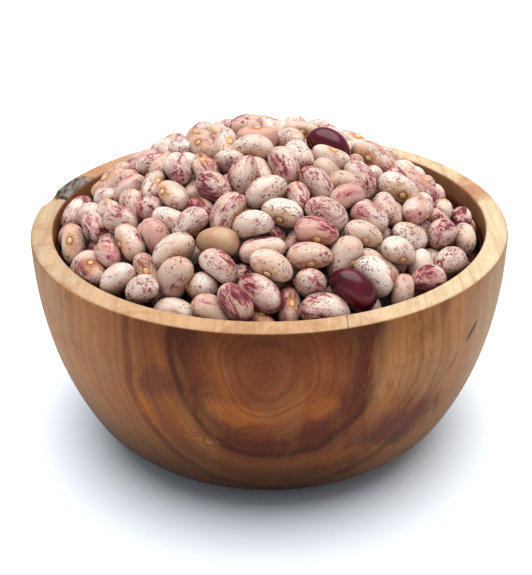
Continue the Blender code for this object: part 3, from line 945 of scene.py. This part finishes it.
# Patches on the front: middle, half sizes and lean in x and z, colour and strength
FRONT_PATCHES = (
    ((43, 77), (12, 18), 0.0, FLAME, 0.7),
    ((60, 72), (8, 16), -0.35, FLAME, 0.55),
    ((43, 42), (18, 11), 0.15, GREYISH, 0.8),
    ((-38, 66), (6, 7), 0.0, GREYISH, 0.6),
    ((-43, 50), (3.5, 10), 0.45, WARM_GOLD, 0.7),
    ((-14, 59), (10, 5), -0.35, WARM_GOLD, 0.55),
    ((17, 59), (8, 5), 0.5, WARM_GOLD, 0.55),
    ((26, 33), (14, 3), 0.3, WARM_GOLD, 0.5),
    ((37, 58), (6, 18), 0.0, FLAME, 0.3),
    ((80, 64), (9, 28), -0.25, SAPWOOD, 0.95),
    ((52, 62), (16, 12), -0.3, SAPWOOD, 0.35),
    ((-60, 67), (3, 16), 0.2, SAPWOOD, 0.25),
    ((-76, 78), (3, 14), 0.25, SAPWOOD, 0.4),
)
# Dark lens-shaped marks: middle, half sizes, lean and strength
FRONT_MARKS = (
    ((72, 69.5), (4.2, 1.1), 1.0, 0.7),
    ((62, 57), (11, 0.5), 1.0, 0.32),
    ((48, 50), (4, 0.6), 1.1, 0.5),
)
# A tuft of short golden fibres: middle, half sizes and lean
FLECKS = ((-24, 42), (7, 1.8), -0.1)

# The flat of the rim: the height and the radius at which its colour starts and is full, in mm
RIM_LEVEL = (89.2, 89.7)
RIM_INSIDE = (84.6, 84.9)
# Stretches of the rim by their turn from +X in radians: start, full, fading and end
RED_STRETCH = (0.08, 0.2, 0.3, 0.44)
PINK_STRETCH = (2.0, 2.4, 2.6, 2.8)
KNOT_STRETCH = (2.62, 2.72, 2.88, 2.92)
CRACK_STRETCH = (2.87, 2.9, 2.92, 2.96)
# A fine check across the front of the rim
CHECK_X = 25
CHECK_WIDTH = (0.4, 0.1)


def off_centre(tree, x, z, middle, half, lean):
    """How far a place on the front is from the middle of an oval patch: 1 at its edge."""
    across = tree.math("SUBTRACT", x, middle[0])
    up = tree.math("SUBTRACT", z, middle[1])
    cos, sin = math.cos(lean), math.sin(lean)
    along = tree.math("ADD", tree.times(across, cos / half[0]), tree.times(up, sin / half[0]))
    over = tree.math("SUBTRACT", tree.times(up, cos / half[1]), tree.times(across, sin / half[1]))
    return tree.length(along, over)


def side_wood(tree, place, x, y, z):
    """Growth rings seen end on at front and back, drawn out into streaks at the sides."""
    slow = tree.noise(tree.vector("MULTIPLY", place, (1, 0.3, 1)), 0.022, 2, 0.5, 0, True)
    slow = tree.scaled(tree.vector("SUBTRACT", slow, (0.5, 0.5, 0.5)), 10.0)
    quick = tree.noise(tree.vector("MULTIPLY", place, (1, 0.15, 1)), 0.07, 2, 0.5, 0, True)
    quick = tree.scaled(tree.vector("SUBTRACT", quick, (0.5, 0.5, 0.5)), 3.5)
    bent = tree.vector("ADD", place, tree.vector("ADD", slow, quick))
    bent_x, _, bent_z = tree.node("ShaderNodeSeparateXYZ", {0: bent}).outputs
    from_x = tree.math("SUBTRACT", bent_x, RING_X)
    from_x = tree.times(from_x, tree.span(x, -14, 8, LEFT_SQUEEZE, 1.0))
    from_z = tree.math("SUBTRACT", bent_z, RING_Z)
    ring = tree.length(from_x, from_z)
    stops = [(reach / BAND_REACH, linear(*colour)) for reach, colour in BANDS]
    colour = tree.ramp(tree.math("DIVIDE", ring, BAND_REACH), stops)

    edge_on = tree.span(tree.math("ABSOLUTE", x), *LONG_GRAIN)
    edge_on = tree.times(edge_on, tree.span(x, -70, 70, 0.25, 0.9))
    colour = tree.mix(edge_on, colour, SAPWOOD)

    flames = tree.noise(tree.vector("MULTIPLY", bent, (1, 0.3, 0.35)), 0.07, 4, 0.65, 0.6)
    flames = tree.times(tree.span(flames, 0.48, 0.72), 0.35)
    colour = tree.mix(flames, colour, FLAME)
    front = tree.span(y, *FRONT_SIDE)
    tongues = tree.noise(tree.vector("MULTIPLY", place, (1, 0.2, 0.22)), 0.16, 4, 0.65)
    tongues = tree.span(tongues, 0.3, 0.7, -0.45, 0.45, smooth=False)
    for middle, half, lean, shade, amount in FRONT_PATCHES:
        near = off_centre(tree, bent_x, bent_z, middle, half, lean)
        near = tree.span(tree.math("ADD", near, tongues), 1.2, 0.55)
        near = tree.times(near, tree.times(front, amount))
        colour = tree.mix(near, colour, shade)

    for scale, low, high, amount in RING_LINES:
        inputs = {"W": tree.times(ring, scale), "Scale": 1.0, "Detail": 3.0}
        lines = tree.node("ShaderNodeTexNoise", inputs, noise_dimensions="1D").outputs["Fac"]
        amount = tree.span(tree.math("ABSOLUTE", x), 30, 70, amount, 0.6 * amount)
        colour = tree.mix(tree.times(tree.span(lines, low, high), amount), colour, FINE_LINE)
    flecks = tree.noise(tree.vector("MULTIPLY", place, (1, 0.12, 1)), 1.1, 3, 0.7)
    colour = tree.mix(tree.times(tree.span(flecks, 0.56, 0.72), 0.25), colour, FINE_LINE)
    colour = tree.mix(tree.times(tree.span(flecks, 0.42, 0.28), 0.25), colour, FLAME)
    blotches = tree.noise(tree.vector("MULTIPLY", bent, (1, 0.3, 0.8)), 0.12, 5, 0.7)
    colour = tree.mix(tree.times(tree.span(blotches, 0.5, 0.75), 0.3), colour, FINE_LINE)
    for middle, half, lean, amount in FRONT_MARKS:
        near = tree.span(off_centre(tree, x, z, middle, half, lean), 1.2, 0.5)
        near = tree.times(near, tree.times(front, amount))
        colour = tree.mix(near, colour, KNOT)
    tuft = tree.noise(tree.vector("MULTIPLY", place, (1, 0.3, 0.5)), 1.2, 3, 0.7)
    near = tree.times(tree.span(off_centre(tree, x, z, *FLECKS), 1.2, 0.4), tree.span(tuft, 0.5, 0.58))
    colour = tree.mix(tree.times(near, front), colour, FLAME)

    # painted shade under the rim's edge, across the front
    shade_under_rim = tree.times(tree.span(z, *UNDER_RIM_SHADE_SPAN), tree.span(tree.math("ABSOLUTE", x), 66, 20))
    # darker wood at the foot, with painted shade where the wall turns under towards the floor
    foot = tree.times(tree.span(z, *FOOT_WOOD_AND_SHADE_SPAN), tree.span(x, 60, 10, 0.55, 1.0))
    colour = tree.mix(tree.times(shade_under_rim, 0.5), colour, FINE_LINE)
    return tree.mix(tree.times(foot, 0.92), colour, FOOT_WOOD_AND_PAINTED_SHADE)


def stretch_of(tree, turn, stretch):
    """1 within a stretch of the rim that starts and ends softly."""
    start, full, fading, end = stretch
    return tree.times(tree.span(turn, start, full), tree.span(turn, end, fading))


def rim_wood(tree, place, x, y):
    """The flat of the rim: straight grain from front to back, paler to the right, barked at the knot."""
    colour = tree.mix(tree.span(x, -80, -30), RIM_LEFT, RIM_FRONT)
    colour = tree.mix(tree.span(x, 0, 60), colour, RIM_RIGHT)
    grain = tree.noise(tree.vector("MULTIPLY", place, (1, 0.04, 0.3)), 0.3, 4, 0.6)
    colour = tree.mix(tree.times(tree.span(grain, 0.42, 0.7), 0.4), colour, RIM_SHADE)
    golden = tree.noise(tree.vector("MULTIPLY", place, (1, 0.05, 0.3)), 0.42, 3, 0.6)
    colour = tree.mix(tree.times(tree.span(golden, 0.52, 0.75), 0.3), colour, RIM_GOLDEN)
    # darker blotches at random, stronger left of the middle
    rim_blotches = tree.noise(place, 0.07, 4, 0.7, 0.5)
    rim_blotches = tree.times(tree.span(rim_blotches, 0.46, 0.66), tree.span(x, 70, 10, 0.15, 0.55))
    colour = tree.mix(rim_blotches, colour, RIM_SHADE)
    pores = tree.noise(tree.vector("MULTIPLY", place, (1, 0.08, 0.5)), 1.6, 3, 0.7)
    colour = tree.mix(tree.times(tree.span(pores, 0.52, 0.7), 0.45), colour, RIM_SHADE)
    turn = tree.math("ARCTAN2", y, x)
    ragged = tree.noise(place, 0.14, 3, 0.6)
    turn = tree.math("ADD", turn, tree.span(ragged, 0.3, 0.7, -0.06, 0.06, smooth=False))
    colour = tree.mix(tree.times(stretch_of(tree, turn, RED_STRETCH), 0.6), colour, RIM_RED)
    colour = tree.mix(tree.times(stretch_of(tree, turn, PINK_STRETCH), 0.55), colour, RIM_PINK)
    streaks = tree.noise(tree.vector("MULTIPLY", place, (1, 0.3, 1)), 0.5, 4, 0.7)
    bark = tree.mix(tree.span(streaks, 0.35, 0.65), BARK, BARK_DARK)
    colour = tree.mix(stretch_of(tree, turn, KNOT_STRETCH), colour, bark)
    colour = tree.mix(tree.times(stretch_of(tree, turn, CRACK_STRETCH), 0.9), colour, KNOT)
    check_line = tree.span(tree.math("ABSOLUTE", tree.math("SUBTRACT", x, CHECK_X)), *CHECK_WIDTH)
    check_line = tree.times(check_line, tree.span(y, -70, -80))
    return tree.mix(tree.times(check_line, 0.5), colour, KNOT)


def inner_wood(tree, place):
    """The hollow, smooth and reddish brown, with faint level rings left by turning."""
    broad = tree.noise(tree.vector("MULTIPLY", place, (0.5, 0.3, 1)), 0.08, 3)
    colour = tree.mix(broad, HOLLOW_DARK, HOLLOW_PALE)
    turning = tree.noise(tree.vector("MULTIPLY", place, (0.02, 0.02, 1)), 0.9, 3, 0.6)
    return tree.mix(tree.times(tree.span(turning, 0.45, 0.7), 0.35), colour, FINE_LINE)


def wood():
    """Turned and oiled wood: dark heart on the side, pale flat rim, reddish hollow."""
    tree = Tree("turned wood", 0.5, **{"Specular IOR Level": 0.1})
    place = tree.scaled(tree.node("ShaderNodeTexCoord").outputs["Object"], 1 / MM)
    x, y, z = tree.node("ShaderNodeSeparateXYZ", {0: place}).outputs
    radius = tree.length(x, y)
    colour = side_wood(tree, place, x, y, z)
    inside = tree.node("ShaderNodeAttribute", attribute_name="inside").outputs["Fac"]
    colour = tree.mix(tree.span(inside, 0.45, 0.55), colour, inner_wood(tree, place))
    on_rim = tree.times(tree.span(z, *RIM_LEVEL), tree.span(radius, *RIM_INSIDE))
    colour = tree.mix(on_rim, colour, rim_wood(tree, place, x, y))
    fibres = tree.noise(tree.vector("MULTIPLY", place, (1, 0.08, 1)), 0.9, 4, 0.65)
    tree.bump(fibres, 0.12 * MM, 0.4)
    return tree.colour(colour)


def build_bowl():
    bm = bmesh.new()
    profile = bowl_profile()
    turned(bm, profile, BOWL_SIDES, chipped)
    mesh = mesh_of("wooden_bowl", bm)
    hollow_rings = HOLLOW_STEPS - 1
    outer_points = 2 + BOWL_SIDES * (len(profile) - 2 - hollow_rings)
    inside = [0.0] * outer_points + [1.0] * (BOWL_SIDES * hollow_rings)
    inside[1] = 1.0
    mesh.attributes.new("inside", "FLOAT", "POINT").data.foreach_set("value", inside)
    obj = object_of("wooden_bowl", mesh, wood())
    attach(obj, "root")
    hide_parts("bowl")


# Studio

FLOOR_COLOUR = linear(236, 244, 253)


def build_floor():
    mesh = bpy.data.meshes.new("floor")
    corners = [(FLOOR_REACH * x, FLOOR_REACH * y, 0) for x, y in ((-1, -1), (1, -1), (1, 1), (-1, 1))]
    mesh.from_pydata(corners, [], [(0, 1, 2, 3)])
    tree = Tree("studio floor", 0.9)
    obj = object_of("floor", mesh, tree.colour(FLOOR_COLOUR))
    obj.location.z = -FLOOR_DROP


def build_lights():
    world = bpy.data.worlds.new("studio")
    bpy.context.scene.world = world
    world.use_nodes = True
    background = world.node_tree.nodes["Background"]
    background.inputs["Color"].default_value = SKY_COLOUR
    background.inputs["Strength"].default_value = SKY_STRENGTH
    sun = bpy.data.lights.new("overhead light", "SUN")
    sun.energy = LIGHT_STRENGTH
    sun.angle = LIGHT_BREADTH
    sun.color = LIGHT_COLOUR
    obj = bpy.data.objects.new("overhead light", sun)
    bpy.context.scene.collection.objects.link(obj)
    obj.rotation_euler = LIGHT_FROM.to_track_quat("Z", "Y").to_euler()


def build_camera():
    camera = bpy.data.cameras.new("camera")
    camera.sensor_fit = "VERTICAL"
    camera.sensor_height = SENSOR
    camera.lens = FOCAL_PIXELS * SENSOR / PHOTO_HEIGHT
    ahead = Vector((0, math.cos(CAMERA_PITCH), -math.sin(CAMERA_PITCH)))
    level = Vector((1, 0, 0))
    up = level.cross(ahead)
    right = level * math.cos(CAMERA_ROLL) + up * math.sin(CAMERA_ROLL)
    up = up * math.cos(CAMERA_ROLL) - level * math.sin(CAMERA_ROLL)
    obj = bpy.data.objects.new("camera", camera)
    bpy.context.scene.collection.objects.link(obj)
    turn = Matrix((right, up, -ahead)).transposed().to_4x4()
    obj.matrix_world = Matrix.Translation(CAMERA_TARGET - ahead * CAMERA_DISTANCE) @ turn
    bpy.context.scene.camera = obj


bpy.context.scene.view_settings.view_transform = "Standard"
bpy.context.scene.view_settings.gamma = PICTURE_GAMMA
build_bowl()
build_core()
build_heap()
build_floor()
build_lights()
build_camera()
